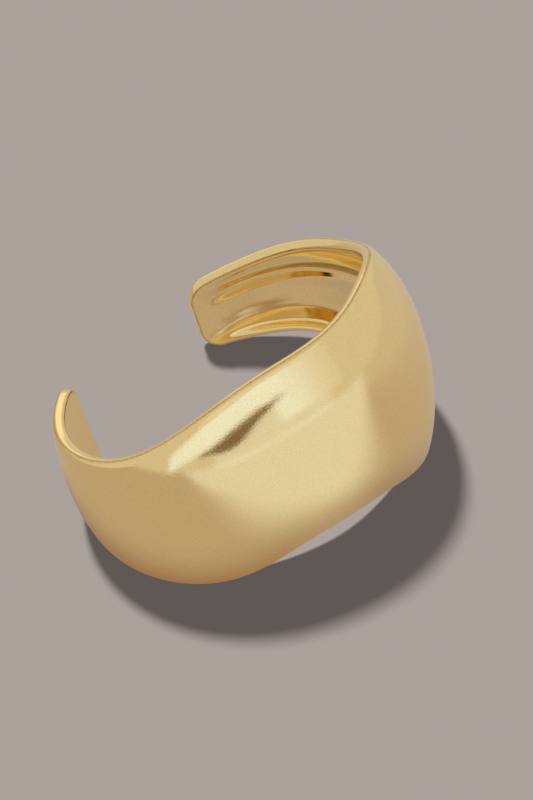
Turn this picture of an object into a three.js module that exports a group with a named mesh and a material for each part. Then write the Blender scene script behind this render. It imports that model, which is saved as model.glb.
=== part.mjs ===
// Cuff bracelet: one open band of cast brass, gold plated. It is broad across the front, narrows to
// two rounded ends, and is dished on the inside, with a thicker rim all round and a ledge inside the
// foot.
//
// Millimetres, +Z up. The cuff lies on its side as it would on a table: the hollow for the wrist runs
// up through it along Z, the gap between the ends faces +Y and the broad front faces -Y. The origin
// is on the surface it lies on, under the middle of its box.

import * as THREE from 'three';

// Wall of the band
const RIM_THICKNESS = 2.4; // metal left round the edge
const OUTER_ROUNDING = 1.5; // from the edge to full rim thickness, on the outside
const OUTER_SQUARENESS = 2.3; // 2 is a round rim, and more is squarer
const INNER_ROUNDING = 0.75; // the same on the inside
const INNER_SQUARENESS = 3;
const DISH_DEPTH = 0.5; // how much thinner the wall is inside the rim
const DISH_START = 0.8; // from the edge to where the dish begins
const DISH_END = 2.5; // from the edge to the dish's full depth
const DISH_RUN_OUT = 14; // the dish dies out towards the two ends
const LEDGE_DEPTH = 0.9; // how far the foot's inner ledge stands in
const LEDGE_WIDTH = 2.3; // from the edge to where the ledge ends
const LEDGE_RUN_OUT = 16; // the ledge dies out towards the two ends
const END_CORNER = 3.8; // corner radius of the two ends
const CURL_POWER = 2.4; // the higher, the nearer the edges the band starts to curl in

// Lie of the cuff on the table
const LEAN = 16.6; // degrees, the band's top toward the gap
const ROLL = 1.4; // degrees, toward the right end
const WORN_DEPTH = 0.15; // rubbed off where it rests

// The band's sections, from the left end round the front to the right end
//   turn      direction from the centre of the wrist, degrees
//   reach     distance of the wall from the centre
//   above     height of the band over its middle line
//   below     depth of the band under its middle line
//   topCurl   how far the top edge leans in over the wrist
//   footCurl  how far the bottom edge leans in under the wrist
const SECTIONS = [
  { turn: 124, reach: 28.7, above: 11.1, below: 7.9, topCurl: 0.6, footCurl: 0.6 },
  { turn: 154, reach: 33.9, above: 10.7, below: 11.4, topCurl: 1.3, footCurl: 1.5 },
  { turn: 182, reach: 33.3, above: 12.0, below: 16.0, topCurl: 2.5, footCurl: 2.4 },
  { turn: 204, reach: 30.0, above: 15.6, below: 18.2, topCurl: 3.6, footCurl: 3.4 },
  { turn: 230, reach: 26.7, above: 18.6, below: 17.6, topCurl: 4.3, footCurl: 4.4 },
  { turn: 254, reach: 26.4, above: 19.0, below: 18.0, topCurl: 4.4, footCurl: 5.0 },
  { turn: 278, reach: 28.4, above: 19.3, below: 19.8, topCurl: 4.5, footCurl: 5.4 },
  { turn: 300, reach: 31.2, above: 20.1, below: 21.6, topCurl: 4.9, footCurl: 4.3 },
  { turn: 322, reach: 32.8, above: 17.7, below: 18.5, topCurl: 4.5, footCurl: 4.0 },
  { turn: 345, reach: 32.5, above: 13.6, below: 13.8, topCurl: 3.8, footCurl: 3.6 },
  { turn: 370, reach: 31.5, above: 10.6, below: 10.1, topCurl: 2.9, footCurl: 2.8 },
  { turn: 391, reach: 29.4, above: 8.2, below: 8.8, topCurl: 1.8, footCurl: 2.0 },
  { turn: 413, reach: 28.5, above: 5.8, below: 8.48, topCurl: 0.8, footCurl: 0.8 },
];

// Fineness of the facets
const EDGE_STEPS = [0, 0.03, 0.14, 0.4, 0.85, 1.3, 1.75, 2.3, 3.2]; // from an edge inward
const STEPS_ALONG = 82; // even steps between those of the two ends
const STEPS_ACROSS = 9; // even steps between those of the two long edges
const NARROW = 11; // a strip narrower than this has its edge steps drawn together

// A smooth curve through (xs, ys) with no bend at its two ends: the natural cubic spline
function naturalSpline(xs, ys) {
  const last = xs.length - 1;
  const bend = new Array(last + 1).fill(0);
  const carry = new Array(last + 1).fill(0);
  for (let k = 1; k < last; k++) {
    const before = xs[k] - xs[k - 1];
    const after = xs[k + 1] - xs[k];
    const pivot = 2 * (before + after) - before * carry[k - 1];
    const slopeChange = (ys[k + 1] - ys[k]) / after - (ys[k] - ys[k - 1]) / before;
    carry[k] = after / pivot;
    bend[k] = (6 * slopeChange - before * bend[k - 1]) / pivot;
  }
  for (let k = last - 1; k > 0; k--) bend[k] -= carry[k] * bend[k + 1];
  return (x) => {
    let k = 0;
    while (k < last - 1 && x > xs[k + 1]) k++;
    const width = xs[k + 1] - xs[k];
    const a = (xs[k + 1] - x) / width;
    const b = 1 - a;
    const sag = ((a ** 3 - a) * bend[k] + (b ** 3 - b) * bend[k + 1]) * (width * width) / 6;
    return a * ys[k] + b * ys[k + 1] + sag;
  };
}

const turns = SECTIONS.map((section) => section.turn);
const along = {};
for (const column of ['reach', 'above', 'below', 'topCurl', 'footCurl']) {
  along[column] = naturalSpline(turns, SECTIONS.map((section) => section[column]));
}

// The middle line of the band in plan, as a point for each turn
function plan(turn) {
  const angle = THREE.MathUtils.degToRad(turn);
  const reach = along.reach(turn);
  return new THREE.Vector2(reach * Math.cos(angle), reach * Math.sin(angle));
}

// Length along the middle line, so that a distance from the left end can be turned into a turn
const MEASURES = 2000;
const measured = [0];
const turnAtMeasure = (k) => THREE.MathUtils.lerp(turns[0], turns[turns.length - 1], k / MEASURES);
for (let k = 1; k <= MEASURES; k++) {
  measured.push(measured[k - 1] + plan(turnAtMeasure(k)).distanceTo(plan(turnAtMeasure(k - 1))));
}
const bandLength = measured[MEASURES];

function turnAtLength(length) {
  let k = 1;
  while (k < MEASURES && measured[k] < length) k++;
  const part = (length - measured[k - 1]) / (measured[k] - measured[k - 1]);
  return turnAtMeasure(k - 1 + part);
}

const halfHeight = (turn) => (along.above(turn) + along.below(turn)) / 2;

// The middle surface of the wall: rise is the height from the middle of the section
function wallMiddle(turn, rise) {
  const probe = 0.02;
  const middle = plan(turn);
  const tangent = plan(turn + probe).sub(plan(turn - probe)).normalize();
  const outward = new THREE.Vector2(tangent.y, -tangent.x);
  const curl = rise > 0 ? along.topCurl(turn) : along.footCurl(turn);
  const leanIn = curl * Math.abs(rise / halfHeight(turn)) ** CURL_POWER;
  middle.addScaledVector(outward, -leanIn);
  const level = (along.above(turn) - along.below(turn)) / 2;
  return new THREE.Vector3(middle.x, middle.y, level + rise);
}

// The way the wall faces, away from the wrist
function wallFacing(turn, rise) {
  const probe = 0.05;
  const lengthwise = wallMiddle(turn + probe, rise).sub(wallMiddle(turn - probe, rise));
  const upward = wallMiddle(turn, rise + probe).sub(wallMiddle(turn, rise - probe));
  return lengthwise.cross(upward).normalize();
}

// How far the rounded corner of an end cuts into the half height, at a distance from that end
function cornerCut(fromEnd) {
  if (fromEnd >= END_CORNER) return 0;
  return END_CORNER - Math.sqrt(END_CORNER ** 2 - (END_CORNER - fromEnd) ** 2);
}

// Distance in from the band's outline, a strip with rounded corners
function fromOutline(fromEnd, rise, half) {
  const past = END_CORNER - fromEnd;
  const over = Math.abs(rise) - (half - END_CORNER);
  if (past > 0 && over > 0) return END_CORNER - Math.hypot(past, over);
  return Math.min(fromEnd, half - Math.abs(rise));
}

// Distances from one edge of a strip to the other, fine in its rounded edges and even between
function spread(width, evenSteps) {
  const scale = Math.min(1, width / NARROW);
  const near = EDGE_STEPS.map((step) => step * scale);
  const start = near[near.length - 1];
  const between = [];
  for (let k = 1; k < evenSteps; k++) {
    between.push(THREE.MathUtils.lerp(start, width - start, k / evenSteps));
  }
  const far = near.map((step) => width - step).reverse();
  return [...near, ...between, ...far];
}

// Half the rim's thickness at a distance in from the outline
function rimDepth(inFromOutline, rounding, squareness) {
  const left = 1 - Math.min(1, inFromOutline / rounding);
  return (RIM_THICKNESS / 2) * (1 - left ** squareness) ** (1 / squareness);
}

// How far the ledge stands in from the wall, at a rise and a distance in from the outline
function ledgeDepth(rise, half, fromEnd, inFromOutline) {
  const { smootherstep } = THREE.MathUtils;
  const atFoot = 1 - smootherstep(rise, -0.5 * half, 0.2 * half);
  const alongBand = smootherstep(fromEnd, DISH_START, LEDGE_RUN_OUT);
  const profile = smootherstep(inFromOutline, 0, INNER_ROUNDING)
    * (1 - smootherstep(inFromOutline, INNER_ROUNDING, LEDGE_WIDTH));
  return LEDGE_DEPTH * atFoot * alongBand * profile;
}

// One section: the outer and inner points of the wall from the bottom edge to the top edge
function sectionPoints(length) {
  const fromEnd = Math.min(length, bandLength - length);
  const turn = turnAtLength(length);
  const half = halfHeight(turn);
  const reach = half - cornerCut(fromEnd);
  return spread(2 * reach, STEPS_ACROSS).map((height) => {
    const rise = height - reach;
    const inFromOutline = Math.max(0, fromOutline(fromEnd, rise, half));
    const outerRim = rimDepth(inFromOutline, OUTER_ROUNDING, OUTER_SQUARENESS);
    const innerRim = rimDepth(inFromOutline, INNER_ROUNDING, INNER_SQUARENESS);
    const dish = DISH_DEPTH * THREE.MathUtils.smootherstep(inFromOutline, DISH_START, DISH_END)
      * THREE.MathUtils.smootherstep(fromEnd, DISH_END, DISH_RUN_OUT);
    const ledge = ledgeDepth(rise, half, fromEnd, inFromOutline);
    const middle = wallMiddle(turn, rise);
    const facing = wallFacing(turn, rise);
    return {
      outer: middle.clone().addScaledVector(facing, outerRim),
      inner: middle.clone().addScaledVector(facing, dish - innerRim - ledge),
    };
  });
}

// Lay the cuff on the table: lean and roll it, set its lowest edge down, rub flats where it rests
function layDown(points) {
  const lie = new THREE.Quaternion().setFromAxisAngle(new THREE.Vector3(0, 1, 0),
    THREE.MathUtils.degToRad(ROLL));
  lie.multiply(new THREE.Quaternion().setFromAxisAngle(new THREE.Vector3(1, 0, 0),
    THREE.MathUtils.degToRad(-LEAN)));
  for (const point of points) point.applyQuaternion(lie);
  const box = new THREE.Box3().setFromPoints(points);
  const centre = box.getCenter(new THREE.Vector3());
  for (const point of points) {
    point.x -= centre.x;
    point.y -= centre.y;
    point.z = Math.max(0, point.z - box.min.z - WORN_DEPTH);
  }
}

function cuffGeometry() {
  const points = [];
  const outer = [];
  const inner = [];
  const lengths = spread(bandLength, STEPS_ALONG);
  for (const [i, length] of lengths.entries()) {
    const section = sectionPoints(length);
    const onEnd = i === 0 || i === lengths.length - 1;
    outer.push([]);
    inner.push([]);
    for (const [j, point] of section.entries()) {
      outer[i].push(points.push(point.outer) - 1);
      const onEdge = onEnd || j === 0 || j === section.length - 1;
      inner[i].push(onEdge ? outer[i][j] : points.push(point.inner) - 1);
    }
  }
  layDown(points);

  const triangles = [];
  const rows = outer.length;
  const columns = outer[0].length;
  for (let i = 0; i + 1 < rows; i++) {
    for (let j = 0; j + 1 < columns; j++) {
      // each cell is split along the diagonal that starts at the nearest corner of the band
      const fromCorner = (i < rows / 2) === (j < columns / 2);
      for (const [side, outside] of [[outer, true], [inner, false]]) {
        const [a, b, c, d] = [side[i][j], side[i + 1][j], side[i + 1][j + 1], side[i][j + 1]];
        const pair = fromCorner ? [[a, b, c], [a, c, d]] : [[a, b, d], [b, c, d]];
        for (const face of pair) triangles.push(...(outside ? face : face.reverse()));
      }
    }
  }
  const geometry = new THREE.BufferGeometry().setFromPoints(points);
  geometry.setIndex(triangles);
  geometry.computeVertexNormals();
  return geometry;
}

// Gold-plated brass: satin outside, polished inside
const goldPlate = new THREE.MeshStandardMaterial({
  name: 'gold_plated_brass',
  color: 0xdfc07f,
  metalness: 1,
  roughness: 0.28,
});

const cuff = new THREE.Mesh(cuffGeometry(), goldPlate);
cuff.name = 'cuff';

const bracelet = new THREE.Group();
bracelet.name = 'cuff_bracelet';
bracelet.add(cuff);

export default bracelet;
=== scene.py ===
from functools import partial
from math import cos, pi, radians, sin

import bpy
import numpy as np
from mathutils import Matrix, Vector


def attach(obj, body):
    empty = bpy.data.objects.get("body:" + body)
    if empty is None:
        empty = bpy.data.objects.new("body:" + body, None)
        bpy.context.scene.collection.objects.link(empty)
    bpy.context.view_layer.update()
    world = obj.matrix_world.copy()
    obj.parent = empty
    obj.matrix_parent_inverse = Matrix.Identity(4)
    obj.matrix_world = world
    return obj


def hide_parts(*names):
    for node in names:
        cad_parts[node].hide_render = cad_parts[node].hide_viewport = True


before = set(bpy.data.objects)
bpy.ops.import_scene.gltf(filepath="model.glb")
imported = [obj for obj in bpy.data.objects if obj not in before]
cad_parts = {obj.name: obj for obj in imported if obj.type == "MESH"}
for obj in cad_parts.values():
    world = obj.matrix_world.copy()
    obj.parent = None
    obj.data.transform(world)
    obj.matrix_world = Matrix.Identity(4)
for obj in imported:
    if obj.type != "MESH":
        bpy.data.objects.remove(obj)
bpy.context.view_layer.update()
scene = bpy.context.scene
scene.view_settings.view_transform = "Standard"
MM = 0.001


# ---- The cuff -------------------------------------------------------------------------------------
# One open band of brass, cast to shape by lost wax, then gold plated. It is broad and domed across
# the front, narrows to two rounded ends, and its top and bottom edges curl in over the wrist. The
# back of the casting is dished, which leaves a squared rim all round and a ledge inside the foot.

RIM_THICKNESS = 2.4 * MM
OUTER_ROUNDING = 1.5 * MM  # from the edge to full rim thickness, on the outside
OUTER_SQUARENESS = 2.3  # 2 is a round rim, and more is squarer
INNER_ROUNDING = 0.75 * MM  # the same on the inside
INNER_SQUARENESS = 3.0
DISH_DEPTH = 0.5 * MM  # how much thinner the wall is inside the rim
DISH_START = 0.8 * MM  # from the edge to where the dish begins
DISH_END = 2.5 * MM  # from the edge to the dish's full depth
DISH_RUN_OUT = 14 * MM  # the dish dies out towards the two ends
LEDGE_DEPTH = 0.9 * MM  # how far the foot's inner ledge stands in
LEDGE_WIDTH = 2.3 * MM  # from the edge to the ledge's foot
LEDGE_RUN_OUT = 16 * MM  # the ledge dies out towards the two ends
LEDGE_TOP, LEDGE_FULL = 0.2, -0.5  # shares of the half height, between which the ledge grows
END_CORNER = 3.8 * MM  # corner radius of the two ends
CURL_POWER = 2.4  # the higher, the nearer the edges the band starts to curl in
LEAN = radians(16.6)  # the band's top towards the gap
ROLL = radians(1.4)  # towards the right end
WORN_DEPTH = 0.15 * MM  # rubbed off where it rests
STATIONS = 400  # rows of the mesh along the band
ACROSS = 104  # points of the mesh across it
SEAM = 0.0001 * MM  # the two faces of the wall are joined where they are this close
FINE_STEPS = 6000  # for measuring the band's length

# turn (degrees), reach, above, below, top curl, foot curl (mm)
SECTIONS = np.array([
    (124, 28.7, 11.1, 7.9, 0.6, 0.6),
    (154, 33.9, 10.7, 11.4, 1.3, 1.5),
    (182, 33.3, 12.0, 16.0, 2.5, 2.4),
    (204, 30.0, 15.6, 18.2, 3.6, 3.4),
    (230, 26.7, 18.6, 17.6, 4.3, 4.4),
    (254, 26.4, 19.0, 18.0, 4.4, 5.0),
    (278, 28.4, 19.3, 19.8, 4.5, 5.4),
    (300, 31.2, 20.1, 21.6, 4.9, 4.3),
    (322, 32.8, 17.7, 18.5, 4.5, 4.0),
    (345, 32.5, 13.6, 13.8, 3.8, 3.6),
    (370, 31.5, 10.6, 10.1, 2.9, 2.8),
    (391, 29.4, 8.2, 8.8, 1.8, 2.0),
    (413, 28.5, 5.8, 8.48, 0.8, 0.8),
])


def natural_spline(xs, ys, x):
    """A smooth curve through (xs, ys) with no bend at its two ends, read at x."""
    n = len(xs)
    step = np.diff(xs)
    rule = np.eye(n)
    change = np.zeros(n)
    for k in range(1, n - 1):
        rule[k, k - 1 : k + 2] = step[k - 1], 2 * (step[k - 1] + step[k]), step[k]
        change[k] = 6 * ((ys[k + 1] - ys[k]) / step[k] - (ys[k] - ys[k - 1]) / step[k - 1])
    bend = np.linalg.solve(rule, change)
    k = np.clip(np.searchsorted(xs, x) - 1, 0, n - 2)
    a = (xs[k + 1] - x) / step[k]
    b = 1 - a
    sag = ((a**3 - a) * bend[k] + (b**3 - b) * bend[k + 1]) * step[k] ** 2 / 6
    return a * ys[k] + b * ys[k + 1] + sag


def band_line():
    """The band's middle line in plan as a mesh of points, each with the measures of its section."""
    turn = np.linspace(SECTIONS[0, 0], SECTIONS[-1, 0], FINE_STEPS)
    reach = natural_spline(SECTIONS[:, 0], SECTIONS[:, 1], turn) * MM
    x, y = reach * np.cos(np.radians(turn)), reach * np.sin(np.radians(turn))
    length = np.concatenate([[0], np.cumsum(np.hypot(np.diff(x), np.diff(y)))])
    # stations crowd towards the two ends, where the rim is rounded
    station = length[-1] * (1 - np.cos(pi * np.linspace(0, 1, STATIONS))) / 2
    at = np.interp(station, length, turn)
    columns = [natural_spline(SECTIONS[:, 0], SECTIONS[:, c], at) * MM for c in range(1, 6)]
    reach, above, below, top_curl, foot_curl = columns
    x, y = reach * np.cos(np.radians(at)), reach * np.sin(np.radians(at))
    along = np.stack([np.gradient(x), np.gradient(y)], 1)
    along /= np.linalg.norm(along, axis=1, keepdims=True)
    from_end = np.minimum(station, length[-1] - station)
    past_corner = np.maximum(END_CORNER - from_end, 0)
    measures = {
        "half_height": (above + below) / 2,
        "corner_cut": END_CORNER - np.sqrt(END_CORNER**2 - past_corner**2),
        "top_curl": top_curl,
        "foot_curl": foot_curl,
        "from_end": from_end,
        "station": station,
        "outward_x": along[:, 1],
        "outward_y": -along[:, 0],
    }
    mesh = bpy.data.meshes.new("band_line")
    mesh.from_pydata(np.stack([x, y, (above - below) / 2], 1).tolist(), [], [])
    for name, values in measures.items():
        column = mesh.attributes.new(name, "FLOAT", "POINT")
        column.data.foreach_set("value", values.astype(np.float32))
    line = bpy.data.objects.new("band_line", mesh)
    scene.collection.objects.link(line)
    return line


MATH, MAP_RANGE, XYZ = "ShaderNodeMath", "ShaderNodeMapRange", "ShaderNodeCombineXYZ"
ADD, MINUS, TIMES, OVER = ({"operation": o} for o in ("ADD", "SUBTRACT", "MULTIPLY", "DIVIDE"))
LESSER, GREATER, ABOVE = ({"operation": o} for o in ("MINIMUM", "MAXIMUM", "GREATER_THAN"))
POWER, ROOT, COSINE = ({"operation": o} for o in ("POWER", "SQRT", "COSINE"))
SIZE_OF, WHOLE, SCALED, ALONG = ({"operation": o} for o in ("ABSOLUTE", "FLOOR", "SCALE", "DOT_PRODUCT"))
SMOOTH, SMOOTHER = ({"interpolation_type": i} for i in ("SMOOTHSTEP", "SMOOTHERSTEP"))


def node(tree, kind, settings, *values, **named):
    """Adds a node. Values go to its inputs in order, or by name, in lower case with _ for a space. Each
    is a number, a colour, a socket, or a node, of which the first output is meant."""
    made = tree.nodes.new(kind)
    for name, value in settings.items():
        setattr(made, name, value)
    inputs = [s for s in made.inputs if s.enabled]
    by_name = {s.name.lower().replace(" ", "_"): s for s in reversed(inputs)}
    for socket, value in [*zip(inputs, values), *((by_name[n], v) for n, v in named.items())]:
        if isinstance(value, bpy.types.Node):
            value = next(s for s in value.outputs if s.enabled)
        if isinstance(value, bpy.types.NodeSocket):
            tree.links.new(value, socket)
        else:
            socket.default_value = value
    return made


def cuff_tree(measures):
    """The section rule: it sweeps the wall's middle surface along the band line, gives it its
    thickness, rim, dish and ledge, and lays the cuff down."""
    tree = bpy.data.node_groups.new("cuff_band", "GeometryNodeTree")
    add = partial(node, tree)
    size = tree.nodes.new("NodeGroupInput").outputs
    tree.interface.new_socket("Geometry", in_out="OUTPUT", socket_type="NodeSocketGeometry")
    tree.interface.new_socket("Band line", in_out="INPUT", socket_type="NodeSocketObject")
    sizes = ("Rim thickness", "Outer rounding", "Outer squareness", "Inner rounding",
             "Inner squareness", "Dish depth", "Dish start", "Dish end", "Dish run-out", "Ledge depth",
             "Ledge width", "Ledge run-out", "Ledge top", "Ledge full", "End corner", "Curl power", "Lean",
             "Roll", "Worn depth", "Seam")
    for name in sizes:
        tree.interface.new_socket(name, in_out="INPUT", socket_type="NodeSocketFloat")
    for name in ("Stations", "Across"):
        tree.interface.new_socket(name, in_out="INPUT", socket_type="NodeSocketInt")
    tree.interface.new_socket("Material", in_out="INPUT", socket_type="NodeSocketMaterial")

    line = add("GeometryNodeObjectInfo", {}, object=size["Band line"]).outputs["Geometry"]
    grid = add("GeometryNodeMeshGrid", {}, vertices_x=size["Stations"], vertices_y=size["Across"])
    index = add("GeometryNodeInputIndex", {})
    row = add(MATH, WHOLE, add(MATH, OVER, index, size["Across"]))
    column = add(MATH, MINUS, index, add(MATH, TIMES, row, size["Across"]))
    found = {}
    for name in measures:
        noted = add("GeometryNodeInputNamedAttribute", {"data_type": "FLOAT"}, name=name)
        found[name] = add("GeometryNodeSampleIndex", {"data_type": "FLOAT"}, geometry=line, value=noted,
                          index=row)
    middle = add("GeometryNodeSampleIndex", {"data_type": "FLOAT_VECTOR"}, geometry=line,
                 value=add("GeometryNodeInputPosition", {}), index=row)

    # height in the section: rows crowd towards the two long edges
    half = found["half_height"]
    share = add(MATH, OVER, column, add(MATH, MINUS, size["Across"], 1.0))
    swing = add(MATH, COSINE, add(MATH, TIMES, share, pi))
    rise = add(MATH, TIMES, swing, add(MATH, MINUS, found["corner_cut"], half))
    height = add(MATH, SIZE_OF, rise)
    on_top = add(MATH, ABOVE, rise, 0.0)

    # the wall's middle surface, leaning in over and under the wrist
    curl = add("ShaderNodeMix", {}, on_top, found["foot_curl"], found["top_curl"])
    bent = add(MATH, POWER, add(MATH, OVER, height, half), size["Curl power"])
    lean_out = add(MATH, TIMES, add(MATH, TIMES, curl, bent), -1.0)
    shift = add(XYZ, {}, add(MATH, TIMES, found["outward_x"], lean_out),
                add(MATH, TIMES, found["outward_y"], lean_out), rise)
    sheet = add("GeometryNodeSetPosition", {}, geometry=grid,
                position=add("ShaderNodeVectorMath", ADD, middle, shift))

    # distance in from the outline, a strip with rounded corners
    past = add(MATH, GREATER, add(MATH, MINUS, size["End corner"], found["from_end"]), 0.0)
    over = add(MATH, GREATER, add(MATH, ADD, add(MATH, MINUS, height, half), size["End corner"]), 0.0)
    slant = add(MATH, ROOT, add(MATH, ADD, add(MATH, TIMES, past, past), add(MATH, TIMES, over, over)))
    in_corner = add(MATH, MINUS, size["End corner"], slant)
    plain = add(MATH, LESSER, found["from_end"], add(MATH, MINUS, half, height))
    cornered = add(MATH, TIMES, add(MATH, ABOVE, past, 0.0), add(MATH, ABOVE, over, 0.0))
    inset = add(MATH, GREATER, add("ShaderNodeMix", {}, cornered, plain, in_corner), 0.0)

    def rim_depth(rounding, squareness):
        """Half the wall's thickness, rounded off towards the edge."""
        left = add(MATH, MINUS, 1.0, add(MATH, LESSER, add(MATH, OVER, inset, rounding), 1.0))
        share = add(MATH, POWER, add(MATH, MINUS, 1.0, add(MATH, POWER, left, squareness)),
                    add(MATH, OVER, 1.0, squareness))
        return add(MATH, TIMES, share, add(MATH, TIMES, size["Rim thickness"], 0.5))

    outer_rim = rim_depth(size["Outer rounding"], size["Outer squareness"])
    inner_rim = rim_depth(size["Inner rounding"], size["Inner squareness"])

    # the dish inside the rim, which dies out towards the ends
    dished = add(MAP_RANGE, SMOOTHER, inset, size["Dish start"], size["Dish end"], 0.0, 1.0)
    from_end = found["from_end"]
    dish_in = add(MAP_RANGE, SMOOTHER, from_end, size["Dish end"], size["Dish run-out"], 0.0, 1.0)
    dish = add(MATH, TIMES, dished, add(MATH, TIMES, size["Dish depth"], dish_in))

    # the ledge stands in from the foot only
    low = add(MAP_RANGE, SMOOTHER, rise, add(MATH, TIMES, half, size["Ledge full"]),
              add(MATH, TIMES, half, size["Ledge top"]), 1.0, 0.0)
    ledge_in = add(MAP_RANGE, SMOOTHER, from_end, size["Dish start"], size["Ledge run-out"], 0.0, 1.0)
    to_crest = add(MAP_RANGE, SMOOTHER, inset, 0.0, size["Inner rounding"], 0.0, 1.0)
    past_crest = add(MAP_RANGE, SMOOTHER, inset, size["Inner rounding"], size["Ledge width"], 1.0, 0.0)
    ledge = add(MATH, TIMES, add(MATH, TIMES, add(MATH, TIMES, low, ledge_in), size["Ledge depth"]),
                add(MATH, TIMES, to_crest, past_crest))
    inner = add(MATH, MINUS, add(MATH, MINUS, dish, inner_rim), ledge)

    facing = add("GeometryNodeInputNormal", {})
    sides = add("GeometryNodeJoinGeometry", {})
    for inside, depth in ((0.0, outer_rim), (1.0, inner)):
        offset = add("ShaderNodeVectorMath", SCALED, vector=facing, scale=depth)
        side = add("GeometryNodeSetPosition", {}, geometry=sheet, offset=offset)
        if inside:
            side = add("GeometryNodeFlipFaces", {}, mesh=side)
        notes = {"inside": inside, "from_edge": inset, "station": found["station"], "rise": rise}
        for name, value in notes.items():
            side = add("GeometryNodeStoreNamedAttribute", {"data_type": "FLOAT", "domain": "POINT"},
                       geometry=side, name=name, value=value)
        tree.links.new(side.outputs[0], sides.inputs[0])
    closed = add("GeometryNodeMergeByDistance", {}, geometry=sides, distance=size["Seam"])

    # laid on its side: leaned, rolled, set down over the origin and rubbed flat where it rests
    lie = add(XYZ, {}, add(MATH, TIMES, size["Lean"], -1.0), size["Roll"])
    laid = add("GeometryNodeTransform", {}, geometry=closed, rotation=lie)
    bounds = add("GeometryNodeBoundBox", {}, geometry=laid)
    low = add("ShaderNodeSeparateXYZ", {}, bounds.outputs["Min"]).outputs
    high = add("ShaderNodeSeparateXYZ", {}, bounds.outputs["Max"]).outputs
    here = add("ShaderNodeSeparateXYZ", {}, add("GeometryNodeInputPosition", {})).outputs
    x, y = (add(MATH, MINUS, here[k], add(MATH, TIMES, add(MATH, ADD, low[k], high[k]), 0.5))
            for k in (0, 1))
    lowered = add(MATH, MINUS, here[2], add(MATH, ADD, low[2], size["Worn depth"]))
    rested = add(XYZ, {}, x, y, add(MATH, GREATER, lowered, 0.0))
    made = add("GeometryNodeSetPosition", {}, geometry=laid, position=rested)
    made = add("GeometryNodeSetShadeSmooth", {}, geometry=made)
    made = add("GeometryNodeRealizeInstances", {}, geometry=made)
    made = add("GeometryNodeSetMaterial", {}, geometry=made, material=size["Material"])
    add("NodeGroupOutput", {}, geometry=made)
    return tree


def linear(hex_colour):
    """An sRGB hex colour as linear red, green, blue and alpha."""
    parts = [int(hex_colour[k : k + 2], 16) / 255 for k in (1, 3, 5)]
    return [c / 12.92 if c <= 0.04045 else ((c + 0.055) / 1.055) ** 2.4 for c in parts] + [1.0]


def bare_material(name):
    """A new material with an empty node tree."""
    material = bpy.data.materials.new(name)
    material.use_nodes = True
    material.node_tree.nodes.clear()
    return material


# Gold plate over brass, satin outside and polished inside: the satin blurs what it mirrors into soft
# fields of light, and the polish keeps it sharp.
GOLD = "#FFECB4"
PIT = "#F8DFA2"  # the gold in the pits of the satin grain, a little darker
RIM_SHADE_LINE = "#B98A4A"  # painted shade: the thin brown line where the satin finish meets the rim
GRAIN = 0.3 * MM  # pits of the satin finish, drawn coarser than the real 0.05 mm so that they show
GRAIN_DEPTH = 0.007 * MM
GRAIN_LEFT = 0.15  # share of the grain that polishing leaves
CLOUDS = 6 * MM  # the satin is a little smoother here and rougher there
HAND_WAVES, WAVE_DEPTH = 9 * MM, 0.06 * MM  # faint unevenness left by hand finishing
STREAK_LENGTH, STREAK_WIDTH = 22 * MM, 4.5 * MM  # hollows that polishing leaves along the inside
HOLLOW_DEPTH, STREAK_SHARE = 0.6 * MM, 0.45  # the streaks are this share of the deepest hollow
HOLLOW_RISE, HOLLOW_REACH = 3.2 * MM, 2.3 * MM  # the deepest of them, in the right arm's upper half
HOLLOW_START, HOLLOW_STOP = 113 * MM, 156 * MM  # along the band, from its left end
HOLLOW_RUN_IN, HOLLOW_RUN_OUT = 12 * MM, 8 * MM
SATIN_ROUGHNESS, SATIN_SPREAD = 0.1, 0.03
POLISH_ROUGHNESS = 0.1
POLISH_FADE = (0.2 * MM, 0.9 * MM)  # from the edge, where the satin goes over to the polish
SHADE_LINE_STARTS = (0.05 * MM, 0.25 * MM)  # from the edge, where the painted shade line comes in
SHADE_LINE_ENDS = (0.2 * MM, 0.6 * MM)  # and where it goes out
SHADE_LINE_LEAST = 0.25  # the grain breaks the line up, down to this share
NOISE_LOW, NOISE_HIGH = 0.3, 0.7  # the range that nearly all of a noise lies in


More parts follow.
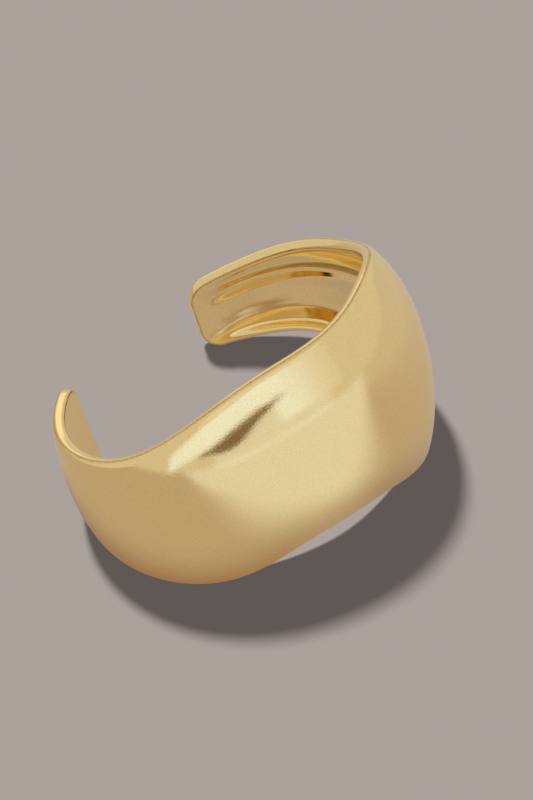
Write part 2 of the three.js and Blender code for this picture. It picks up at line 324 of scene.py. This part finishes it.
def gold_plate():
    material = bare_material("satin_gold_plate")
    add = partial(node, material.node_tree)
    noted = {}
    for name in ("inside", "from_edge", "station", "rise"):
        noted[name] = add("ShaderNodeAttribute", {"attribute_name": name}).outputs["Fac"]
    from_edge = noted["from_edge"]
    place = add("ShaderNodeTexCoord", {}).outputs["Object"]

    # satin outside and on the rim, polish on the rest of the inside
    polished = add(MATH, TIMES, noted["inside"], add(MAP_RANGE, SMOOTH, from_edge, *POLISH_FADE, 0.0, 1.0))
    clouds = add("ShaderNodeTexNoise", {}, vector=place, scale=1 / CLOUDS, detail=3.0).outputs[0]
    satin = add(MAP_RANGE, {}, clouds, NOISE_LOW, NOISE_HIGH, SATIN_ROUGHNESS - SATIN_SPREAD,
                SATIN_ROUGHNESS + SATIN_SPREAD)
    rough = add("ShaderNodeMix", {}, polished, satin, POLISH_ROUGHNESS)

    # grain, hand waves, and polishing streaks with one deeper hollow inside the right arm
    grain = add("ShaderNodeTexNoise", {}, vector=place, scale=1 / GRAIN, detail=2.0,
                roughness=0.6).outputs[0]
    grain_share = add(MAP_RANGE, {}, polished, 0.0, 1.0, 1.0, GRAIN_LEFT)
    bump = add("ShaderNodeBump", {}, strength=grain_share, distance=GRAIN_DEPTH, height=grain)
    waves = add("ShaderNodeTexNoise", {}, vector=place, scale=1 / HAND_WAVES, detail=1.0).outputs[0]
    bump = add("ShaderNodeBump", {}, strength=1.0, distance=WAVE_DEPTH, height=waves, normal=bump)
    lengthwise = add(XYZ, {}, add(MATH, OVER, noted["station"], STREAK_LENGTH),
                     add(MATH, OVER, noted["rise"], STREAK_WIDTH))
    streaks = add("ShaderNodeTexNoise", {}, vector=lengthwise, scale=1.0, detail=1.5).outputs[0]
    rising = add(MAP_RANGE, SMOOTH, noted["rise"], HOLLOW_RISE - HOLLOW_REACH, HOLLOW_RISE, 0.0, 1.0)
    falling = add(MAP_RANGE, SMOOTH, noted["rise"], HOLLOW_RISE, HOLLOW_RISE + HOLLOW_REACH, 1.0, 0.0)
    run_in = add(MAP_RANGE, SMOOTH, noted["station"], HOLLOW_START, HOLLOW_START + HOLLOW_RUN_IN, 0.0, 1.0)
    run_out = add(MAP_RANGE, SMOOTH, noted["station"], HOLLOW_STOP - HOLLOW_RUN_OUT, HOLLOW_STOP, 1.0, 0.0)
    hollow = add(MATH, TIMES, add(MATH, TIMES, rising, falling), add(MATH, TIMES, run_in, run_out))
    relief = add(MATH, MINUS, add(MATH, TIMES, streaks, STREAK_SHARE), hollow)
    bump = add("ShaderNodeBump", {}, strength=polished, distance=HOLLOW_DEPTH, height=relief, normal=bump)

    # painted shade: the brown line, broken up by the grain, where the satin finish meets the rim
    line = add(MATH, TIMES, add(MAP_RANGE, SMOOTH, from_edge, *SHADE_LINE_STARTS, 0.0, 1.0),
               add(MAP_RANGE, SMOOTH, from_edge, *SHADE_LINE_ENDS, 1.0, 0.0))
    line = add(MATH, TIMES, line, add(MAP_RANGE, {}, grain, NOISE_LOW, NOISE_HIGH, SHADE_LINE_LEAST, 1.0))
    mottle = add(MAP_RANGE, {}, grain, NOISE_LOW, NOISE_HIGH, 0.0, 1.0)
    gilt = add("ShaderNodeMix", {"data_type": "RGBA"}, mottle, linear(PIT), linear(GOLD))
    gilt = add("ShaderNodeMix", {"data_type": "RGBA"}, line, gilt, linear(RIM_SHADE_LINE))
    shader = add("ShaderNodeBsdfPrincipled", {}, base_color=gilt, metallic=1.0, roughness=rough,
                 normal=bump)
    add("ShaderNodeOutputMaterial", {}, surface=shader)
    return material


def grow(tree, inputs, name, material):
    """Runs a geometry tree and returns what it makes as a plain mesh object."""
    host = bpy.data.objects.new(name, bpy.data.meshes.new(name))
    scene.collection.objects.link(host)
    modifier = host.modifiers.new(name, "NODES")
    modifier.node_group = tree
    for socket in tree.interface.items_tree:
        if socket.in_out == "INPUT":
            modifier[socket.identifier] = inputs[socket.name]
    bpy.context.view_layer.update()
    grown = host.evaluated_get(bpy.context.evaluated_depsgraph_get())
    mesh = bpy.data.meshes.new_from_object(grown)
    host.modifiers.clear()
    host.data = mesh
    mesh.name = name
    if not mesh.materials:
        mesh.materials.append(material)
    return host


line = band_line()
gold = gold_plate()
cuff = grow(
    cuff_tree([a.name for a in line.data.attributes if a.data_type == "FLOAT"]),
    {
        "Band line": line,
        "Rim thickness": RIM_THICKNESS,
        "Outer rounding": OUTER_ROUNDING,
        "Outer squareness": OUTER_SQUARENESS,
        "Inner rounding": INNER_ROUNDING,
        "Inner squareness": INNER_SQUARENESS,
        "Dish depth": DISH_DEPTH,
        "Dish start": DISH_START,
        "Dish end": DISH_END,
        "Dish run-out": DISH_RUN_OUT,
        "Ledge depth": LEDGE_DEPTH,
        "Ledge width": LEDGE_WIDTH,
        "Ledge run-out": LEDGE_RUN_OUT,
        "Ledge top": LEDGE_TOP,
        "Ledge full": LEDGE_FULL,
        "End corner": END_CORNER,
        "Curl power": CURL_POWER,
        "Lean": LEAN,
        "Roll": ROLL,
        "Worn depth": WORN_DEPTH,
        "Seam": SEAM,
        "Stations": STATIONS,
        "Across": ACROSS,
        "Material": gold,
    },
    "gold_cuff",
    gold,
)
bpy.data.objects.remove(line)
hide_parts("cuff")
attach(cuff, "root")


# ---- The floor, the lights and the camera ---------------------------------------------------------
# A plain sheet of warm grey paper in a pale room. A key light stands high behind the cuff's gap, and a
# broad fill hangs overhead. Soft boxes, a white card, a black flag and a bounce card show only in the
# gold, and the key and the fill don't show in it.

PAPER = "#ABA29D"
PAPER_REACH = 2.0
PAPER_ROUGHNESS, PAPER_SPECULAR = 0.95, 0.1
KEY_LIGHT = 2.70
KEY_ANGLE = radians(6)
KEY_FROM = (0.3, 0.575, 1.0)
FILL = (0.515, 0.486, 0.48)
FILL_HEIGHT, FILL_SIDE = 1.5, 3.0
ROOM = (0.68, 0.63, 0.55)
BOX_DISTANCE = 0.6


def flat_mesh(name, corners, material):
    """A flat panel through the given corners, set outside the object."""
    mesh = bpy.data.meshes.new(name)
    mesh.from_pydata(corners, [], [tuple(range(len(corners)))])
    mesh.materials.append(material)
    made = bpy.data.objects.new(name, mesh)
    scene.collection.objects.link(made)
    return made


def in_the_gold_only(made):
    """Shows a lamp or panel only as the gold's mirror image."""
    made.visible_camera = made.visible_diffuse = made.visible_shadow = False
    made.visible_transmission = made.visible_volume_scatter = False


def square(reach, height):
    """The corners of a level square about the origin."""
    return [(x * reach, y * reach, height) for x, y in ((-1, -1), (1, -1), (1, 1), (-1, 1))]


# Matt uncoated paper: a plain field with hardly any sheen
paper = bpy.data.materials.new("matte_paper")
paper.use_nodes = True
paper_shader = paper.node_tree.nodes["Principled BSDF"].inputs
paper_shader["Base Color"].default_value = linear(PAPER)
paper_shader["Roughness"].default_value = PAPER_ROUGHNESS
paper_shader["Specular IOR Level"].default_value = PAPER_SPECULAR
floor = flat_mesh("paper_floor", square(PAPER_REACH, 0), paper)
floor.visible_glossy = False  # the bounce card stands in for it in the gold
cuff.visible_diffuse = False  # the gold tints no shadow

# The room lights no floor, because the fill does that
world = bpy.data.worlds.new("pale_room")
world.use_nodes = True
world.node_tree.nodes["Background"].inputs["Color"].default_value = (*ROOM, 1)
world.node_tree.nodes["Background"].inputs["Strength"].default_value = 1.0
scene.world = world
world.cycles_visibility.diffuse = False


def towards(bearing, elevation):
    """The direction from the cuff: bearing 0 is straight out of its broad front, 90 is along +X."""
    b, e = radians(bearing), radians(elevation)
    return Vector((sin(b) * cos(e), -cos(b) * cos(e), sin(e)))


def lamp(data, place):
    """A lamp that shines from its place on the cuff."""
    made = bpy.data.objects.new(data.name, data)
    made.location = place
    made.rotation_euler = Vector(place).to_track_quat("Z", "Y").to_euler()
    made.visible_camera = False
    scene.collection.objects.link(made)
    return made


def soft_box(name, place, width, height, glow):
    """A panel lamp of an even glow, given as red, green and blue."""
    data = bpy.data.lights.new(name, "AREA")
    data.shape = "RECTANGLE"
    data.size, data.size_y = width, height
    data.color = [c / max(glow) for c in glow]
    data.energy = max(glow) * pi * width * height
    return lamp(data, place)


key = bpy.data.lights.new("key", "SUN")
key.energy = KEY_LIGHT
key.angle = KEY_ANGLE
lamp(key, KEY_FROM).visible_glossy = False
fill = soft_box("fill", (0, 0, FILL_HEIGHT), FILL_SIDE, FILL_SIDE, FILL)
fill.visible_glossy = False

# name, bearing, elevation (degrees), width, height (m), glow
BOXES = [
    ("upper_box", -30, 50, 0.66, 0.50, (0.10, 0.12, 0.17)),
    ("back_box", 143, 32, 0.40, 0.22, (0.35, 0.33, 0.28)),
    ("front_box", -22, 8, 0.55, 0.22, (0.08, 0.13, 0.22)),
]
for name, bearing, elevation, width, height, glow in BOXES:
    in_the_gold_only(soft_box(name, towards(bearing, elevation) * BOX_DISTANCE, width, height, glow))

# A slanted strip of white card that glows. It gives the front its brightest band, and it falls off
# to the right so that the band has no edge there.
STRIP = [(-74, 2), (-62, 9), (-50, 14), (-38, 20), (-26, 25), (-20, 24), (-17, 9), (10, 9),
         (10, 45), (-26, 48), (-38, 38), (-50, 30), (-62, 22), (-74, 12)]  # bearing, elevation
STRIP_DISTANCE = 0.9 * BOX_DISTANCE
STRIP_GLOW, STRIP_WHITE, STRIP_GREY = 1.15, "#E3EEFF", "#D2CEC7"
STRIP_FADE = (-0.13, 0.07)  # along X, in metres
white_card = bare_material("white_card")
add = partial(node, white_card.node_tree)
across = add("ShaderNodeSeparateXYZ", {}, add("ShaderNodeTexCoord", {}).outputs["Object"])
fading = add(MAP_RANGE, SMOOTH, across, *STRIP_FADE, 0.0, 1.0)
card = add("ShaderNodeMix", {"data_type": "RGBA"}, fading, linear(STRIP_WHITE), linear(STRIP_GREY))
add("ShaderNodeOutputMaterial", {}, surface=add("ShaderNodeEmission", {}, color=card, strength=STRIP_GLOW))
in_the_gold_only(flat_mesh("white_strip", [towards(b, e) * STRIP_DISTANCE for b, e in STRIP], white_card))

# A narrow dark flag in front of the strip's lower edge. It glows a dull brown, and the gold mirrors
# it as a dark leaf shape under the cuff's top edge.
FLAG = [(-58, 9.5), (-50, 10), (-44, 9), (-38, 9), (-33, 11.5), (-28, 16.5), (-22, 20.5), (-14, 24.5),
        (-14, 25.5), (-22, 24), (-28, 22.5), (-33, 21.5), (-38, 19.5), (-44, 16.5), (-50, 13.5),
        (-58, 10)]  # bearing, elevation
FLAG_DISTANCE = 0.8 * BOX_DISTANCE
FLAG_BROWN = "#7C654B"
dark_felt = bare_material("dark_felt")
add = partial(node, dark_felt.node_tree)
add("ShaderNodeOutputMaterial", {}, surface=add("ShaderNodeEmission", {}, color=linear(FLAG_BROWN)))
in_the_gold_only(flat_mesh("black_flag", [towards(b, e) * FLAG_DISTANCE for b, e in FLAG], dark_felt))

# The bounce card lies on the paper and glows: tan all round, white in front, and painted shade close to
# the foot, brown on the left and rose on the right. It gives the gold's lower half its warm and pale
# fields.
TAN, PALE_TAN, WHITE = "#BFB0A2", "#CEC5BA", "#E3E3E3"
# painted shade near the cuff's foot: brown on the left, rose on the right
FOOT_SHADE_BROWN, FOOT_SHADE_ROSE = "#9E816C", "#ADAAB1"
TAN_FADE = (15 * MM, 110 * MM)  # along X, where the tan grows paler
ROSE_FADE = (-5 * MM, 35 * MM)  # along X, where the brown turns to rose
WHITE_CORNER = Vector((-5, -32, 0)) * MM
WHITE_SIDES = (Vector((0.43, -0.903, 0)), Vector((-0.94, -0.342, 0)))  # square to its two sides
WHITE_EDGES = ((-20 * MM, 8 * MM), (-14 * MM, 6 * MM))  # how soft the two sides are
FOOT_SHADE = 30 * MM  # how far the cuff darkens the card
FOOT_OPEN = (0.45, 0.9)  # how open the place is, from full shade to none
CARD_HEIGHT = 0.3 * MM
tinted_card = bare_material("tinted_card")
add = partial(node, tinted_card.node_tree)
place = add("ShaderNodeTexCoord", {}).outputs["Object"]
spot = add("ShaderNodeVectorMath", MINUS, place, WHITE_CORNER)
past_sides = []
for side, (start, end) in zip(WHITE_SIDES, WHITE_EDGES):
    reach = add("ShaderNodeVectorMath", ALONG, spot, side).outputs["Value"]
    past_sides.append(add(MAP_RANGE, SMOOTH, reach, start, end, 0.0, 1.0))
in_field = add(MATH, TIMES, *past_sides)
sideways = add("ShaderNodeSeparateXYZ", {}, place)
far_right = add(MAP_RANGE, SMOOTH, sideways, *TAN_FADE, 0.0, 1.0)
to_rose = add(MAP_RANGE, SMOOTH, sideways, *ROSE_FADE, 0.0, 1.0)
# painted shade: ambient occlusion turns the card's glow brown and rose close to the cuff's foot
shade = add("ShaderNodeAmbientOcclusion", {}, distance=FOOT_SHADE).outputs["AO"]
openness = add(MAP_RANGE, SMOOTH, shade, *FOOT_OPEN, 0.0, 1.0)
ground = add("ShaderNodeMix", {"data_type": "RGBA"}, far_right, linear(TAN), linear(PALE_TAN))
ground = add("ShaderNodeMix", {"data_type": "RGBA"}, in_field, ground, linear(WHITE))
foot = add("ShaderNodeMix", {"data_type": "RGBA"}, to_rose, linear(FOOT_SHADE_BROWN), linear(FOOT_SHADE_ROSE))
card = add("ShaderNodeMix", {"data_type": "RGBA"}, openness, foot, ground)
add("ShaderNodeOutputMaterial", {}, surface=add("ShaderNodeEmission", {}, color=card))
in_the_gold_only(flat_mesh("bounce_card", square(PAPER_REACH, CARD_HEIGHT), tinted_card))

# A long portrait lens, held a little askew and shifted to set the cuff low and left in the frame
AZIMUTH, ELEVATION, DISTANCE = radians(-54.97), radians(48.83), 0.52
CAMERA_ROLL = radians(3.4)
AIM = Vector((0.9, 2.8, 14.0)) * MM
SENSOR = 36.0
FOCAL_LENGTH = 133.38
SHIFT_X, SHIFT_Y = 0.0339, -0.0079
back = Vector((sin(AZIMUTH) * cos(ELEVATION), -cos(AZIMUTH) * cos(ELEVATION), sin(ELEVATION)))
right = Vector((cos(AZIMUTH), sin(AZIMUTH), 0))
up = back.cross(right)
right, up = (right * cos(CAMERA_ROLL) - up * sin(CAMERA_ROLL),
             right * sin(CAMERA_ROLL) + up * cos(CAMERA_ROLL))
lens = bpy.data.cameras.new("camera")
lens.sensor_width = SENSOR
lens.lens = FOCAL_LENGTH
lens.shift_x = SHIFT_X
lens.shift_y = SHIFT_Y
lens.clip_start = 0.01
camera = bpy.data.objects.new("camera", lens)
camera.matrix_world = Matrix((right, up, back)).transposed().to_4x4()
camera.location = AIM + back * DISTANCE
scene.collection.objects.link(camera)
scene.camera = camera
